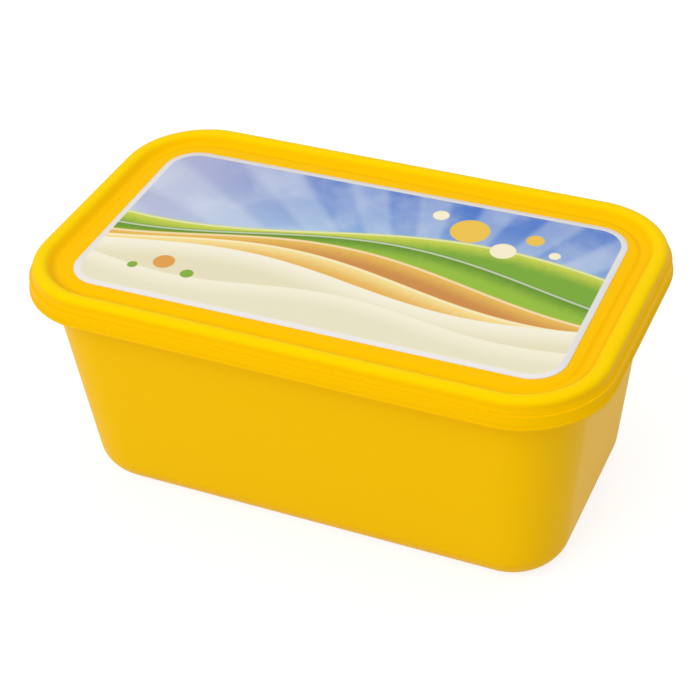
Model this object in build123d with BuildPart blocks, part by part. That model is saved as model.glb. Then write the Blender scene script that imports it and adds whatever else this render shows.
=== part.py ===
from build123d import *
import os

# A one-litre ice cream tub, shut: a tapered plastic tub, a press-on lid and the
# printed label on the lid's panel. Millimetres, +Z up. The origin is the middle
# of the base, on the surface that the tub stands on. The long side runs along X
# and the front faces -Y.

# ---- lid, measured over its lip ----
LID_LENGTH = 185.6
LID_WIDTH = 109.4
LID_CORNER = 28.0  # corner radius of the lip
LID_WALL = 1.1  # moulded wall of the skirt and of the crown

# ---- panel of the lid and the label on it ----
PANEL_HEIGHT = 78.8  # top of the panel above the base
PANEL_THICKNESS = 2.0
PANEL_INSET = 11.6  # from the lip inwards to the edge of the flat panel
LABEL_END_GAP = 3.2  # from the ends of the flat panel to the label
LABEL_SIDE_GAP = 3.4  # from its long sides to the label
LABEL_CORNER = 10.8
LABEL_THICKNESS = 0.3
LABEL_SHIFT = (0.6, -0.2)  # the label lies a little off the middle of the panel
LABEL_TURN = 0.7  # and is turned by so many degrees

# ---- skirt of the lid, from the bottom up; an inset is measured from the lip ----
LIP_DROP = 6.6  # lower edge of the lip below the panel
BEAD_HEIGHT = 1.0  # bead round the lip
BEAD_STEP = 0.3  # how far the bead stands out from the skirt
LEDGE_DROP = 2.1  # step in the skirt below the panel
LEDGE_INSET = 0.5  # outer edge of the step
LEDGE_WIDTH = 0.7
SKIRT_DRAFT = 0.4  # lean of the upper skirt
SHOULDER_DROP = 0.3  # top of the upper skirt below the panel
EDGE_ROUND = 0.28  # round on the edges of the bead and the step

# ---- crown of the lid and the groove inside it ----
CROWN_INSET = 4.6  # highest line of the crown
CROWN_RISE = 2.1
GROOVE_INSET = 9.5  # lowest line of the groove
GROOVE_DEPTH = 0.7
CHANNEL_WIDTH = 2.6  # room under the crown for the rim of the tub

# ---- tub ----
WALL_INSET = 6.7  # from the lip in to the wall, at the height of the lip
WALL_DRAFT = 7.2  # lean of the wall from there down to the base
CORNER_TOP = 21.5
CORNER_BASE = 17.5
BASE_ROUND = 9.5
FOOT_WIDTH = 6.0  # flat ring that the tub stands on, inside the base round
BASE_RECESS = 0.8
COLLAR_LIFT = 1.4  # underside of the collar above the lip's lower edge
SEAT_CLEARANCE = 0.3  # play between the lid and the rim

# ---- heights and insets that follow from the sizes above ----
HALF_LENGTH = LID_LENGTH / 2
HALF_WIDTH = LID_WIDTH / 2
LIP_HEIGHT = PANEL_HEIGHT - LIP_DROP
BEAD_TOP = LIP_HEIGHT + BEAD_HEIGHT
LEDGE_HEIGHT = PANEL_HEIGHT - LEDGE_DROP
SHOULDER_HEIGHT = PANEL_HEIGHT - SHOULDER_DROP
CROWN_HEIGHT = PANEL_HEIGHT + CROWN_RISE
GROOVE_HEIGHT = PANEL_HEIGHT - GROOVE_DEPTH
PANEL_UNDERSIDE = PANEL_HEIGHT - PANEL_THICKNESS
SKIRT_INSET = LEDGE_INSET + LEDGE_WIDTH
SHOULDER_INSET = SKIRT_INSET + SKIRT_DRAFT
SKIRT_INSIDE = LEDGE_INSET + LID_WALL  # inner face of the lower skirt
SKIRT_CEILING = LEDGE_HEIGHT - LID_WALL
CHANNEL_OUTSIDE = SHOULDER_INSET + LID_WALL
CHANNEL_INSIDE = CHANNEL_OUTSIDE + CHANNEL_WIDTH
CHANNEL_CEILING = CROWN_HEIGHT - LID_WALL
WALL_BASE_INSET = WALL_INSET + WALL_DRAFT
LABEL_LENGTH = LID_LENGTH - 2 * (PANEL_INSET + LABEL_END_GAP)
LABEL_WIDTH = LID_WIDTH - 2 * (PANEL_INSET + LABEL_SIDE_GAP)


def outline(inset, corner):
    """Rounded rectangle at the given distance inside the lip."""
    return RectangleRounded(LID_LENGTH - 2 * inset, LID_WIDTH - 2 * inset, corner)


def concentric(inset):
    """Rounded rectangle inside the lip whose corners have the lip's centres."""
    return outline(inset, LID_CORNER - inset)


def at(inset, height):
    """Point of the lid's section through the middle of its right end."""
    return (HALF_LENGTH - inset, height)


# ---- lid: a section led round the lip's outline, closed by the flat panel ----
with BuildPart() as lid:
    with BuildLine(Plane.XY.offset(LIP_HEIGHT)) as lip_line:
        run_x = HALF_LENGTH - LID_CORNER
        run_y = HALF_WIDTH - LID_CORNER
        Line((HALF_LENGTH, 0), (HALF_LENGTH, run_y))
        CenterArc((run_x, run_y), LID_CORNER, 0, 90)
        Line((run_x, HALF_WIDTH), (-run_x, HALF_WIDTH))
        CenterArc((-run_x, run_y), LID_CORNER, 90, 90)
        Line((-HALF_LENGTH, run_y), (-HALF_LENGTH, -run_y))
        CenterArc((-run_x, -run_y), LID_CORNER, 180, 90)
        Line((-run_x, -HALF_WIDTH), (run_x, -HALF_WIDTH))
        CenterArc((run_x, -run_y), LID_CORNER, 270, 90)
        Line((HALF_LENGTH, -run_y), (HALF_LENGTH, 0))
    with BuildSketch(Plane.XZ) as section:
        with BuildLine():
            Bezier(
                at(SHOULDER_INSET, SHOULDER_HEIGHT),
                at(SHOULDER_INSET, CROWN_HEIGHT),
                at(CROWN_INSET, CROWN_HEIGHT),
            )
            slope_middle = (CROWN_INSET + GROOVE_INSET) / 2
            Bezier(
                at(CROWN_INSET, CROWN_HEIGHT),
                at(slope_middle, CROWN_HEIGHT),
                at(slope_middle, GROOVE_HEIGHT),
                at(GROOVE_INSET, GROOVE_HEIGHT),
            )
            rise_middle = (GROOVE_INSET + PANEL_INSET) / 2
            Bezier(
                at(GROOVE_INSET, GROOVE_HEIGHT),
                at(rise_middle, GROOVE_HEIGHT),
                at(rise_middle, PANEL_HEIGHT),
                at(PANEL_INSET, PANEL_HEIGHT),
            )
            Polyline(
                at(PANEL_INSET, PANEL_HEIGHT),
                at(PANEL_INSET, PANEL_UNDERSIDE),
                at(CHANNEL_INSIDE, PANEL_UNDERSIDE),
                at(CHANNEL_INSIDE, CHANNEL_CEILING),
                at(CHANNEL_OUTSIDE, CHANNEL_CEILING),
                at(CHANNEL_OUTSIDE, SKIRT_CEILING),
                at(SKIRT_INSIDE, SKIRT_CEILING),
                at(SKIRT_INSIDE, LIP_HEIGHT),
                at(0, LIP_HEIGHT),
                at(0, BEAD_TOP),
                at(BEAD_STEP, BEAD_TOP),
                at(LEDGE_INSET, LEDGE_HEIGHT),
                at(SKIRT_INSET, LEDGE_HEIGHT),
                at(SHOULDER_INSET, SHOULDER_HEIGHT),
            )
        make_face()
        bead_edges = section.vertices().group_by(Axis.X)[-1]
        fillet(bead_edges, EDGE_ROUND)
        ledge_edge = section.vertices().sort_by_distance((HALF_LENGTH - LEDGE_INSET, 0, LEDGE_HEIGHT))[0]
        fillet(ledge_edge, EDGE_ROUND)
    sweep(path=lip_line.wires()[0])
    with BuildSketch(Plane.XY.offset(PANEL_UNDERSIDE)):
        concentric(PANEL_INSET)
    extrude(amount=PANEL_THICKNESS)
lid.part.label = "lid"

# ---- tub: a tapered body with its contents, a collar and the rim under the crown ----
with BuildPart() as tub:
    with BuildSketch():
        outline(WALL_BASE_INSET, CORNER_BASE)
    with BuildSketch(Plane.XY.offset(LIP_HEIGHT)):
        outline(WALL_INSET, CORNER_TOP)
    loft(ruled=True)
    fillet(tub.faces().sort_by(Axis.Z)[0].edges(), BASE_ROUND)
    with BuildSketch():
        recess_inset = WALL_BASE_INSET + BASE_ROUND + FOOT_WIDTH
        outline(recess_inset, CORNER_BASE - FOOT_WIDTH)
    extrude(amount=BASE_RECESS, mode=Mode.SUBTRACT)

    with BuildSketch(Plane.XY.offset(LIP_HEIGHT)):
        outline(WALL_INSET, CORNER_TOP)
    extrude(amount=PANEL_UNDERSIDE - LIP_HEIGHT)
    collar_underside = LIP_HEIGHT + COLLAR_LIFT
    collar_top = SKIRT_CEILING - SEAT_CLEARANCE
    with BuildSketch(Plane.XY.offset(collar_underside)):
        concentric(SKIRT_INSIDE + SEAT_CLEARANCE)
    extrude(amount=collar_top - collar_underside)
    with BuildSketch(Plane.XY.offset(collar_top)):
        concentric(CHANNEL_OUTSIDE + SEAT_CLEARANCE)
    extrude(amount=CHANNEL_CEILING - collar_top)
    with BuildSketch(Plane.XY.offset(PANEL_UNDERSIDE)):
        concentric(CHANNEL_INSIDE - SEAT_CLEARANCE)
    extrude(amount=CHANNEL_CEILING - PANEL_UNDERSIDE, mode=Mode.SUBTRACT)
tub.part.label = "tub"

# ---- label: a thin printed sheet on the panel ----
with BuildPart() as label:
    with BuildSketch(Plane.XY.offset(PANEL_HEIGHT)):
        with Locations(LABEL_SHIFT):
            RectangleRounded(LABEL_LENGTH, LABEL_WIDTH, LABEL_CORNER, rotation=LABEL_TURN)
    extrude(amount=LABEL_THICKNESS)
label.part.label = "label"

os.makedirs("parts", exist_ok=True)
export_step(tub.part, "parts/tub.step")
export_step(lid.part, "parts/lid.step")
export_step(label.part, "parts/label.step")
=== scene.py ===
import math

import bpy
from mathutils import Matrix, Vector


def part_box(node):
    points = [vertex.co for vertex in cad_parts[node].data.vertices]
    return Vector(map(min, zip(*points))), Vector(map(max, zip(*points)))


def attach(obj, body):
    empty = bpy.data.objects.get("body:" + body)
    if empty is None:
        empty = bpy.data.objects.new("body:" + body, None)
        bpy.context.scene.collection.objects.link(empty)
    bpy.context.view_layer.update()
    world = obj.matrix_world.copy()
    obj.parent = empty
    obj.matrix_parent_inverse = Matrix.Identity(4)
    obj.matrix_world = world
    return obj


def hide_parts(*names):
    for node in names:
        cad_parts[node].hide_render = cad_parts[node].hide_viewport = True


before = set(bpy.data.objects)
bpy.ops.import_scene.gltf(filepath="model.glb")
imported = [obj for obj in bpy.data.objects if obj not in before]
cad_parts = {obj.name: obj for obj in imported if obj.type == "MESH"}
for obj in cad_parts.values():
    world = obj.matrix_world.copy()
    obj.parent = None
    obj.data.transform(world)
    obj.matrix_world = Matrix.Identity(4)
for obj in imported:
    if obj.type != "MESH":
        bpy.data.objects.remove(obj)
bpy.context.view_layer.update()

# A shut ice cream tub: a tapered tub, a press-on lid and a printed label, each a
# clean shell round the same rounded rectangle. Metres, in the frame of the model.

MM = 0.001
PER_METRE = 1000.0  # millimetres

# ---- sizes taken from the frame ----
lid_low, lid_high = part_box("lid")
label_low, label_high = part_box("label")
HALF_LENGTH = lid_high.x
HALF_WIDTH = lid_high.y
LIP = lid_low.z
CROWN = lid_high.z
PANEL = label_low.z
LABEL_TOP = label_high.z

# ---- lid section: insets from the lip and heights from the panel ----
LID_CORNER = 28 * MM
LID_WALL = 1.1 * MM
PANEL_THICKNESS = 2.0 * MM
PANEL_INSET = 11.6 * MM
BEAD_HEIGHT = 1.0 * MM
BEAD_STEP = 0.3 * MM
LEDGE_DROP = 2.1 * MM
LEDGE_INSET = 0.5 * MM
LEDGE_WIDTH = 0.7 * MM
SKIRT_DRAFT = 0.4 * MM
SHOULDER_DROP = 0.3 * MM
CROWN_INSET = 4.6 * MM
GROOVE_INSET = 9.5 * MM
GROOVE_DEPTH = 0.7 * MM
CHANNEL_WIDTH = 2.6 * MM
EDGE_ROUND = 0.28 * MM
SHOULDER_INSET = LEDGE_INSET + LEDGE_WIDTH + SKIRT_DRAFT
CHANNEL_OUTSIDE = SHOULDER_INSET + LID_WALL
CHANNEL_INSIDE = CHANNEL_OUTSIDE + CHANNEL_WIDTH
SKIRT_INSIDE = LEDGE_INSET + LID_WALL
LEDGE = PANEL - LEDGE_DROP
PANEL_UNDERSIDE = PANEL - PANEL_THICKNESS
CHANNEL_CEILING = CROWN - LID_WALL
PANEL_LOOP = 4 * MM  # loop on the flat panel that keeps its shading flat

# ---- tub section ----
WALL_INSET = 6.7 * MM
WALL_DRAFT = 7.2 * MM
CORNER_TOP = 21.5 * MM
CORNER_BASE = 17.5 * MM
BASE_ROUND = 9.5 * MM
FOOT_WIDTH = 6.0 * MM
BASE_RECESS = 0.8 * MM
COLLAR_LIFT = 1.4 * MM
SEAT_CLEARANCE = 0.3 * MM

# ---- label ----
LABEL_LENGTH = 156.0 * MM
LABEL_WIDTH = 79.4 * MM
LABEL_CORNER = 10.8 * MM
LABEL_TURN = math.radians(0.7)
LABEL_MIDDLE = ((label_low.x + label_high.x) / 2, (label_low.y + label_high.y) / 2)
LABEL_EDGE = 0.12 * MM  # round on the label's upper edge
LABEL_LOOP = 3 * MM

# ---- surfaces ----
SKIN_RELIEF = 0.04 * MM  # depth of the moulded skin
PRINT_RELIEF = 0.01 * MM
SHADE_EDGE_WANDER = 0.6 * MM  # how far the edge of the painted shade strays

# ---- fineness of the meshes ----
CORNER_STEPS = 16
LONG_SIDE_STEPS = 24
END_STEPS = 12
WALL_STEPS = 12
ROUND_STEPS = 12
SLOPE_STEPS = 14
RISE_STEPS = 8
EDGE_STEPS = 4
CRISP_GAP = 0.06 * MM
SAME_POINT = 1e-7


# ---------------------------------------------------------------- meshes
def rounded_loop(half_x, half_y, corner, height):
    """Points round a rounded rectangle, anticlockwise from the right end's lower corner."""
    points = []
    middles = ((1, -1), (1, 1), (-1, 1), (-1, -1))
    for quarter, (side_x, side_y) in enumerate(middles):
        middle = Vector((side_x * (half_x - corner), side_y * (half_y - corner)))
        start = math.radians(90 * (quarter - 1))
        for step in range(CORNER_STEPS + 1):
            angle = start + math.radians(90) * step / CORNER_STEPS
            points.append(middle + corner * Vector((math.cos(angle), math.sin(angle))))
        after = middles[(quarter + 1) % 4]
        target = Vector((after[0] * (half_x - corner), after[1] * (half_y - corner)))
        angle = start + math.radians(90)
        last = target + corner * Vector((math.cos(angle), math.sin(angle)))
        count = LONG_SIDE_STEPS if quarter % 2 else END_STEPS
        first = points[-1].copy()
        for step in range(1, count):
            points.append(first.lerp(last, step / count))
    return [Vector((p.x, p.y, height)) for p in points]


def shell(name, rings, material, replaced, turn=0.0, shift=(0.0, 0.0)):
    """Closed skin through rings of points, from the middle of the top to the middle of the base."""
    vertices = [p for ring in rings for p in ring]
    size = len(rings[0])
    faces = []
    for level in range(len(rings) - 1):
        upper = level * size
        lower = upper + size
        for i in range(size):
            j = (i + 1) % size
            faces.append((upper + i, lower + i, lower + j, upper + j))
    faces.append(tuple(range(size)))
    faces.append(tuple(reversed(range((len(rings) - 1) * size, len(rings) * size))))
    mesh = bpy.data.meshes.new(name)
    mesh.from_pydata(vertices, [], faces)
    place = Matrix.Translation((shift[0], shift[1], 0)) @ Matrix.Rotation(turn, 4, "Z")
    mesh.transform(place)
    mesh.update()
    mesh.shade_smooth()
    mesh.materials.append(material)
    piece = bpy.data.objects.new(name, mesh)
    bpy.context.scene.collection.objects.link(piece)
    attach(piece, "root")
    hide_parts(replaced)


def lid_ring(inset, height):
    """Ring of the lid at an inset from the lip, with the lip's corner centres."""
    return rounded_loop(HALF_LENGTH - inset, HALF_WIDTH - inset, LID_CORNER - inset, height)


def curve(points, steps):
    """Points along a Bezier curve of any degree, the first left out."""
    result = []
    for step in range(1, steps + 1):
        t = step / steps
        level = [Vector(p) for p in points]
        while len(level) > 1:
            level = [a.lerp(b, t) for a, b in zip(level, level[1:])]
        result.append(tuple(level[0]))
    return result


def crisp(section, tight=CRISP_GAP):
    """Section with a point set close to each side of every corner, so that it shades sharp."""
    result = []
    for before, here, after in zip([None] + section[:-1], section, section[1:] + [None]):
        for neighbour in (before, None, after):
            if neighbour is None:
                result.append(here)
                continue
            way = Vector(neighbour) - Vector(here)
            if way.length > 3 * tight:
                result.append(tuple(Vector(here) + way * tight / way.length))
    cleaned = result[:1]
    for before, here in zip(result, result[1:]):
        if (Vector(here) - Vector(before)).length > SAME_POINT:
            cleaned.append(here)
    return cleaned


def round_off(corner, before, after, radius):
    """Points of a small round between two points at a corner of a section."""
    middle = Vector(corner)
    start = middle + (Vector(before) - middle).normalized() * radius
    end = middle + (Vector(after) - middle).normalized() * radius
    return [tuple(start)] + curve((start, middle, end), EDGE_STEPS)


def lid_section():
    """Lid's section as (inset, height), from the panel out over the crown and back below."""
    shoulder = (SHOULDER_INSET, PANEL - SHOULDER_DROP)
    groove = PANEL - GROOVE_DEPTH
    rise = (GROOVE_INSET + PANEL_INSET) / 2
    slope = (CROWN_INSET + GROOVE_INSET) / 2
    panel_to_groove = ((PANEL_INSET, PANEL), (rise, PANEL), (rise, groove), (GROOVE_INSET, groove))
    groove_to_crown = ((GROOVE_INSET, groove), (slope, groove), (slope, CROWN), (CROWN_INSET, CROWN))
    crown_to_shoulder = ((CROWN_INSET, CROWN), (SHOULDER_INSET, CROWN), shoulder)
    ledge_in = (LEDGE_INSET + LEDGE_WIDTH, LEDGE)
    ledge_out = (LEDGE_INSET, LEDGE)
    bead_in = (BEAD_STEP, LIP + BEAD_HEIGHT)
    bead_top = (0, LIP + BEAD_HEIGHT)
    bead_base = (0, LIP)
    section = [(PANEL_INSET + PANEL_LOOP, PANEL), (PANEL_INSET, PANEL)]
    section += curve(panel_to_groove, RISE_STEPS)
    section += curve(groove_to_crown, SLOPE_STEPS)
    section += curve(crown_to_shoulder, SLOPE_STEPS)
    section.append(ledge_in)
    section += round_off(ledge_out, ledge_in, bead_in, EDGE_ROUND)
    section.append(bead_in)
    section += round_off(bead_top, bead_in, bead_base, EDGE_ROUND)
    section += round_off(bead_base, bead_top, (SKIRT_INSIDE, LIP), EDGE_ROUND)
    section += crisp([
        (SKIRT_INSIDE, LIP),
        (SKIRT_INSIDE, LEDGE - LID_WALL),
        (CHANNEL_OUTSIDE, LEDGE - LID_WALL),
        (CHANNEL_OUTSIDE, CHANNEL_CEILING),
        (CHANNEL_INSIDE, CHANNEL_CEILING),
        (CHANNEL_INSIDE, PANEL_UNDERSIDE),
        (PANEL_INSET, PANEL_UNDERSIDE),
    ])
    return section


def make_lid(material):
    """Lid: its section led round the lip, with the flat panel closing it."""
    rings = [lid_ring(inset, height) for inset, height in lid_section()]
    shell("lid_shell", rings, material, "lid")


def wall_ring(height, further_in=0.0):
    """Ring of the tub's leaning wall at a height, or further in where the wall turns under."""
    down = 1 - height / LIP
    inset = WALL_INSET + WALL_DRAFT * down + further_in
    corner = CORNER_TOP + (CORNER_BASE - CORNER_TOP) * down - further_in
    return rounded_loop(HALF_LENGTH - inset, HALF_WIDTH - inset, corner, height)


def make_tub(material):
    """Tub from the hollow below the panel out to the rim, down the wall and under the base."""
    collar_top = LEDGE - LID_WALL - SEAT_CLEARANCE
    collar_underside = LIP + COLLAR_LIFT
    rim_inside = CHANNEL_INSIDE - SEAT_CLEARANCE
    rim_outside = CHANNEL_OUTSIDE + SEAT_CLEARANCE
    collar_edge = SKIRT_INSIDE + SEAT_CLEARANCE
    rim_section = crisp([
        (PANEL_INSET, PANEL_UNDERSIDE),
        (rim_inside, PANEL_UNDERSIDE),
        (rim_inside, CHANNEL_CEILING),
        (rim_outside, CHANNEL_CEILING),
        (rim_outside, collar_top),
        (collar_edge, collar_top),
        (collar_edge, collar_underside),
    ])
    rings = [lid_ring(inset, height) for inset, height in rim_section]
    below_collar = rounded_loop(
        HALF_LENGTH - WALL_INSET, HALF_WIDTH - WALL_INSET, CORNER_TOP, collar_underside
    )
    rings.append(below_collar)
    for step in range(WALL_STEPS + 1):
        rings.append(wall_ring(LIP + (BASE_ROUND - LIP) * step / WALL_STEPS))
    lean = math.atan(WALL_DRAFT / LIP)
    for step in range(1, ROUND_STEPS + 1):
        angle = (math.pi / 2 - lean) * step / ROUND_STEPS
        height = max(BASE_ROUND - BASE_ROUND * math.sin(angle), 0.0)
        rings.append(wall_ring(height, BASE_ROUND * (1 - math.cos(angle))))
    foot_inset = WALL_INSET + WALL_DRAFT + BASE_ROUND + FOOT_WIDTH
    for height in (0.0, BASE_RECESS):
        rings.append(rounded_loop(
            HALF_LENGTH - foot_inset, HALF_WIDTH - foot_inset, CORNER_BASE - FOOT_WIDTH, height
        ))
    shell("tub_shell", rings, material, "tub")


def make_label(material):
    """Label: a thin sheet with a small round along its upper edge."""
    rings = []
    for inset, height in (
        (LABEL_LOOP, LABEL_TOP),
        (LABEL_EDGE, LABEL_TOP),
        (0, LABEL_TOP - LABEL_EDGE),
        (0, PANEL),
    ):
        rings.append(rounded_loop(
            LABEL_LENGTH / 2 - inset, LABEL_WIDTH / 2 - inset, LABEL_CORNER - inset, height
        ))
    shell("label_sheet", rings, material, "label", LABEL_TURN, LABEL_MIDDLE)


# ---------------------------------------------------------------- shader maths
class Value:
    """A number in a material, with the usual operators."""

    def __init__(self, maker, socket):
        self.maker = maker
        self.socket = socket

    def _math(self, operation, *others):
        return self.maker.math(operation, self, *others)

    def __add__(self, other):
        return self._math("ADD", other)

    def __sub__(self, other):
        return self._math("SUBTRACT", other)

    def __rsub__(self, other):
        return self.maker.math("SUBTRACT", other, self)

    def __mul__(self, other):
        return self._math("MULTIPLY", other)

    __radd__ = __add__
    __rmul__ = __mul__


class Maker:
    """Adds nodes to one material."""

    def __init__(self, name):
        self.material = bpy.data.materials.new(name)
        self.material.use_nodes = True
        self.tree = self.material.node_tree
        self.tree.nodes.clear()

    def node(self, kind, settings=None, **inputs):
        """New node with its settings and with values or links on its inputs."""
        made = self.tree.nodes.new(kind)
        for key, value in (settings or {}).items():
            setattr(made, key, value)
        for key, value in inputs.items():
            self.feed(made.inputs[key], value)
        return made

    def feed(self, socket, value):
        """Links a Value to the socket, or sets a plain number, vector or colour on it."""
        if isinstance(value, Value):
            self.tree.links.new(value.socket, socket)
        else:
            socket.default_value = value

    def math(self, operation, *values, clamp=False):
        made = self.tree.nodes.new("ShaderNodeMath")
        made.operation = operation
        made.use_clamp = clamp
        for socket, value in zip(made.inputs, values):
            self.feed(socket, value)
        return Value(self, made.outputs[0])

    def smooth(self, value, low, high):
        """0 below low, 1 above high, with a soft step between."""
        made = self.node("ShaderNodeMapRange", {"interpolation_type": "SMOOTHSTEP"}, Value=value)
        made.inputs["From Min"].default_value = low
        made.inputs["From Max"].default_value = high
        return Value(self, made.outputs["Result"])

    def mix(self, factor, first, second):
        made = self.tree.nodes.new("ShaderNodeMix")
        made.data_type = "RGBA"
        self.feed(made.inputs[0], factor)
        self.feed(made.inputs[6], first)
        self.feed(made.inputs[7], second)
        return Value(self, made.outputs[2])

    def coordinates(self, location=(0, 0, 0), turn=0.0):
        """Object coordinates, measured from a place and a turn about the upright."""
        place = self.tree.nodes.new("ShaderNodeTexCoord")
        mapping = self.node("ShaderNodeMapping", {"vector_type": "TEXTURE"})
        mapping.inputs["Location"].default_value = location
        mapping.inputs["Rotation"].default_value = (0, 0, turn)
        self.tree.links.new(place.outputs["Object"], mapping.inputs["Vector"])
        return Value(self, mapping.outputs["Vector"])

    def noise(self, vector, scale, detail):
        made = self.node("ShaderNodeTexNoise", None, Vector=vector, Scale=scale, Detail=detail)
        return Value(self, made.outputs["Fac"])

    def finish(self, color, roughness, bump_height, bump_distance, constants):
        """Principled surface with a bump, joined to the output."""
        bump = self.node("ShaderNodeBump", None, Height=bump_height, Distance=bump_distance, Strength=1.0)
        surface = self.tree.nodes.new("ShaderNodeBsdfPrincipled")
        self.feed(surface.inputs["Base Color"], color)
        self.feed(surface.inputs["Roughness"], roughness)
        self.tree.links.new(bump.outputs["Normal"], surface.inputs["Normal"])
        for key, value in constants.items():
            surface.inputs[key].default_value = value
        output = self.tree.nodes.new("ShaderNodeOutputMaterial")
        self.tree.links.new(surface.outputs[0], output.inputs["Surface"])
        return self.material


def linear(red, green, blue):
    """Colour as a shader takes it, from the everyday 0 to 255 values."""
    def channel(value):
        value /= 255
        return value / 12.92 if value <= 0.04045 else ((value + 0.055) / 1.055) ** 2.4
    return (channel(red), channel(green), channel(blue), 1.0)


def moulded_plastic(name, bright, deep, low, high, roughness):
    """Satin moulded plastic, deeper below the given heights and brighter above them as painted shade and
    painted light, with faint flow marks and a fine skin.
    """
    maker = Maker(name)
    place = maker.coordinates()
    parts = maker.node("ShaderNodeSeparateXYZ", None, Vector=place)
    level = Value(maker, parts.outputs[2])
    flow = maker.noise(place, 22.0, 3.0)
    # painted shade and painted light: the colour goes from deep below low to bright above high
    tone = maker.smooth(level + (flow - 0.5) * SHADE_EDGE_WANDER, low, high)
    color = maker.mix(tone, deep, bright)
    color = maker.mix(maker.smooth(flow, 0.4, 0.7) * 0.12, color, deep)
    skin = maker.noise(place, 900.0, 3.0)
    swell = maker.noise(place, 35.0, 1.0)
    rough = roughness + 0.07 * (maker.noise(place, 160.0, 4.0) - 0.5)
    height = skin * 0.25 + swell * 1.5
    return maker.finish(color, rough, height, SKIN_RELIEF, {
        "IOR": 1.49, "Specular IOR Level": 0.05, "Specular Tint": (1.0, 0.8, 0.2, 1.0),
    })


def label_print():
    """Plain design: sky with soft rays, sweeping bands, cream folds and dots in a white border.

    Sizes inside are in millimetres from the middle of the label.
    """
    maker = Maker("label_print")
    place = maker.coordinates((LABEL_MIDDLE[0], LABEL_MIDDLE[1], 0), LABEL_TURN)
    parts = maker.node("ShaderNodeSeparateXYZ", None, Vector=place)
    x = Value(maker, parts.outputs[0]) * PER_METRE
    y = Value(maker, parts.outputs[1]) * PER_METRE
    soft = 0.25  # half the width of a printed edge

    def inside(distance):
        return 1.0 - maker.smooth(distance, -soft, soft)

    def disc(middle_x, middle_y, radius):
        dx = x - middle_x
        dy = y - middle_y
        return maker.math("SQRT", dx * dx + dy * dy) - radius

    def rounded_box(half_x, half_y, corner):
        dx = maker.math("MAXIMUM", maker.math("ABSOLUTE", x) - (half_x - corner), 0.0)
        dy = maker.math("MAXIMUM", maker.math("ABSOLUTE", y) - (half_y - corner), 0.0)
        return maker.math("SQRT", dx * dx + dy * dy) - corner

    grain = maker.noise(place, 420.0, 3.0)
    wisp = maker.noise(place, 55.0, 4.0)
    # sky, paler towards the horizon and lavender towards the left
    height = maker.smooth(y, -12.0, 40.0)
    sky = maker.mix(height, linear(172, 204, 232), linear(72, 118, 202))
    sky = maker.mix(maker.smooth(x * -1.0, 5.0, 75.0) * 0.8, sky, linear(190, 190, 216))
    # soft rays fanning out from below the middle right
    bearing = maker.math("ARCTAN2", y + 34.0, x - 30.0)
    ray = maker.smooth(maker.math("SINE", bearing * 22.0), -0.5, 0.5)
    color = maker.mix(ray * 0.28, sky, linear(220, 232, 244))
    haze = maker.smooth(wisp, 0.42, 0.7)
    color = maker.mix(haze * 0.25, color, linear(232, 238, 246))
    # sweeping bands, from the back one to the front one
    for rise, swing, pace, phase, first, second in (
        (9.0, 9.0, 0.030, 0.4, linear(206, 214, 74), linear(122, 170, 48)),
        (2.0, 8.0, 0.034, 1.1, linear(94, 142, 34), linear(150, 190, 55)),
        (-4.0, 7.5, 0.036, 1.7, linear(236, 190, 84), linear(206, 140, 70)),
        (-9.5, 6.5, 0.039, 2.3, linear(250, 226, 150), linear(232, 180, 84)),
    ):
        line = maker.math("SINE", x * pace + phase) * swing + rise
        depth = line - y
        tone = maker.smooth(depth + (grain - 0.5) * 2.0, 0.0, 8.0)
        color = maker.mix(maker.smooth(depth, -soft, soft), color, maker.mix(tone, first, second))
        lit = maker.smooth(maker.math("ABSOLUTE", depth - 0.7) * -1.0, -0.6, -0.3)
        color = maker.mix(lit * 0.5, color, linear(250, 246, 226))
    # cream along the front, in two folds
    fold = maker.math("SINE", x * 0.043 + 2.9) * 5.0
    cream_depth = (-14.0 + fold) - y
    body = maker.mix(maker.smooth(cream_depth, 0.0, 10.0), linear(248, 242, 220), linear(232, 224, 190))
    color = maker.mix(maker.smooth(cream_depth, -soft, soft), color, body)
    wave = maker.math("SINE", x * 0.060 + 1.3) * 3.2
    depth = (-24.0 + wave) - y
    cream = maker.mix(maker.smooth(depth, 0.0, 8.0), linear(246, 240, 216), linear(234, 228, 198))
    color = maker.mix(maker.smooth(depth, -soft, soft), color, cream)
    # plain dots of several sizes
    for middle_x, middle_y, radius, fill in (
        (30.0, 24.0, 6.2, linear(240, 196, 72)),
        (43.0, 17.0, 4.0, linear(250, 240, 206)),
        (50.5, 25.5, 2.8, linear(240, 196, 72)),
        (18.5, 29.5, 2.6, linear(250, 240, 206)),
        (58.5, 19.5, 1.8, linear(250, 240, 206)),
        (-52.0, -22.0, 3.4, linear(226, 160, 70)),
        (-42.5, -25.5, 2.1, linear(130, 176, 52)),
        (-60.5, -26.5, 1.6, linear(130, 176, 52)),
    ):
        color = maker.mix(inside(disc(middle_x, middle_y, radius)), color, fill)
    # white border
    border = 2.0
    past_print = rounded_box(
        LABEL_LENGTH * PER_METRE / 2 - border,
        LABEL_WIDTH * PER_METRE / 2 - border,
        LABEL_CORNER * PER_METRE - border,
    )
    color = maker.mix(maker.smooth(past_print, -soft, soft), color, linear(233, 231, 230))
    screen = maker.noise(place, 2400.0, 1.0)
    rough = 0.36 + 0.08 * (grain - 0.5)
    return maker.finish(color, rough, screen, PRINT_RELIEF, {"IOR": 1.5, "Specular IOR Level": 0.25})


# ---------------------------------------------------------------- pieces
PAINTED_SHADE_BELOW = PANEL + 0.4 * MM  # painted shade: the lid is painted deeper orange below this height, in its groove and on its skirt, and lighter on the crown as painted light
lid_plastic = moulded_plastic(
    "lid_plastic", linear(255, 214, 0), linear(254, 197, 0), PAINTED_SHADE_BELOW, CROWN, 0.4
)
# the tub's two colours are nearly the same, so its colour barely changes with height
tub_plastic = moulded_plastic("tub_plastic", linear(252, 197, 0), linear(253, 200, 0), 0.0, LIP, 0.42)
make_tub(tub_plastic)
make_lid(lid_plastic)
make_label(label_print())


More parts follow.
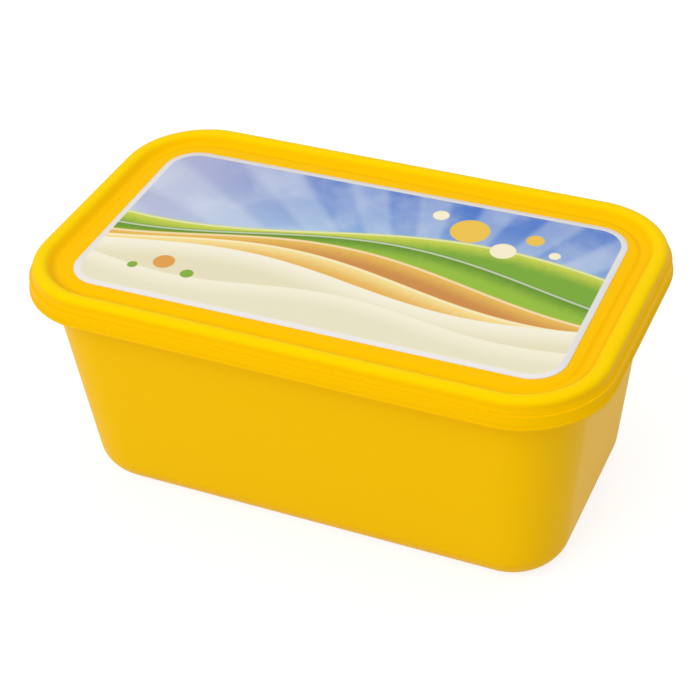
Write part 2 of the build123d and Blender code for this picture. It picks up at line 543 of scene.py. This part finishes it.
# ---------------------------------------------------------------- floor, light and camera
TUB_MIDDLE = Vector((0, 0, 0.05))
FLOOR_REACH = 6.0
FLOOR_SHADE = 0.8
FLOOR_GLOW = 0.8
FLOOR_FAINT = 0.3


def floor_white():
    """Pale floor that shows white to the camera and still takes a shadow."""
    maker = Maker("floor_white")
    diffuse = maker.node("ShaderNodeBsdfDiffuse", None, Color=(FLOOR_SHADE, FLOOR_SHADE, FLOOR_SHADE, 1))
    faint = maker.node("ShaderNodeBsdfDiffuse", None, Color=(FLOOR_FAINT, FLOOR_FAINT, FLOOR_FAINT, 1))
    emission = maker.node("ShaderNodeEmission", None, Color=(1, 1, 1, 1), Strength=FLOOR_GLOW)
    both = maker.tree.nodes.new("ShaderNodeAddShader")
    maker.tree.links.new(faint.outputs[0], both.inputs[0])
    maker.tree.links.new(emission.outputs[0], both.inputs[1])
    light_path = maker.tree.nodes.new("ShaderNodeLightPath")
    seen = Value(maker, light_path.outputs["Is Camera Ray"])
    glossy = Value(maker, light_path.outputs["Is Glossy Ray"])
    through = Value(maker, light_path.outputs["Is Transmission Ray"])
    factor = maker.math("ADD", seen + glossy, through, clamp=True)
    mixed = maker.node("ShaderNodeMixShader", None)
    maker.feed(mixed.inputs[0], factor)
    maker.tree.links.new(diffuse.outputs[0], mixed.inputs[1])
    maker.tree.links.new(both.outputs[0], mixed.inputs[2])
    output = maker.tree.nodes.new("ShaderNodeOutputMaterial")
    maker.tree.links.new(mixed.outputs[0], output.inputs["Surface"])
    return maker.material


def add_floor():
    """Flat floor, wide enough to run past every view."""
    mesh = bpy.data.meshes.new("floor")
    signs = ((-1, -1), (1, -1), (1, 1), (-1, 1))
    corners = [(side_x * FLOOR_REACH, side_y * FLOOR_REACH, 0) for side_x, side_y in signs]
    mesh.from_pydata(corners, [], [(0, 1, 2, 3)])
    mesh.materials.append(floor_white())
    floor = bpy.data.objects.new("floor", mesh)
    bpy.context.scene.collection.objects.link(floor)


def add_lamp(name, place, size, power):
    """Square soft lamp that faces the middle of the tub."""
    data = bpy.data.lights.new(name, "AREA")
    data.shape = "RECTANGLE"
    data.size = size
    data.size_y = size
    data.energy = power
    lamp = bpy.data.objects.new(name, data)
    lamp.location = place
    lamp.rotation_euler = (TUB_MIDDLE - Vector(place)).to_track_quat("-Z", "Y").to_euler()
    bpy.context.scene.collection.objects.link(lamp)


def add_world(strength):
    """Pale light from all round that shows plain white to the camera."""
    world = bpy.data.worlds.new("studio")
    world.use_nodes = True
    nodes = world.node_tree.nodes
    links = world.node_tree.links
    nodes.clear()
    soft = nodes.new("ShaderNodeBackground")
    soft.inputs["Strength"].default_value = strength
    white = nodes.new("ShaderNodeBackground")
    white.inputs["Strength"].default_value = 1.0
    for background in (soft, white):
        background.inputs["Color"].default_value = (1, 1, 1, 1)
    light_path = nodes.new("ShaderNodeLightPath")
    mixed = nodes.new("ShaderNodeMixShader")
    output = nodes.new("ShaderNodeOutputWorld")
    links.new(light_path.outputs["Is Camera Ray"], mixed.inputs[0])
    links.new(soft.outputs[0], mixed.inputs[1])
    links.new(white.outputs[0], mixed.inputs[2])
    links.new(mixed.outputs[0], output.inputs["Surface"])
    bpy.context.scene.world = world


def add_camera():
    """Camera above the front right corner, with a slight roll."""
    azimuth = math.radians(25.289)
    elevation = math.radians(37.132)
    roll = math.radians(-2.992)
    aim = Vector((0.00658, -0.01630, 0.05593))
    distance = 0.54574
    back = Vector((
        math.sin(azimuth) * math.cos(elevation),
        -math.cos(azimuth) * math.cos(elevation),
        math.sin(elevation),
    ))
    level = Vector((math.cos(azimuth), math.sin(azimuth), 0))
    rise = back.cross(level)
    right = level * math.cos(roll) + rise * math.sin(roll)
    up = rise * math.cos(roll) - level * math.sin(roll)
    data = bpy.data.cameras.new("camera")
    data.sensor_width = 36.0
    data.lens = 92.65
    camera = bpy.data.objects.new("camera", data)
    turn = Matrix((right, up, back)).transposed().to_4x4()
    camera.matrix_world = Matrix.Translation(aim + back * distance) @ turn
    bpy.context.scene.collection.objects.link(camera)
    bpy.context.scene.camera = camera


add_floor()
add_lamp("key", (-0.35, -1.0, 0.95), 0.9, 7.8)
add_lamp("top", (0.1, 0.3, 1.3), 1.2, 4.4)
add_world(0.55)
add_camera()
bpy.context.scene.view_settings.view_transform = "Standard"
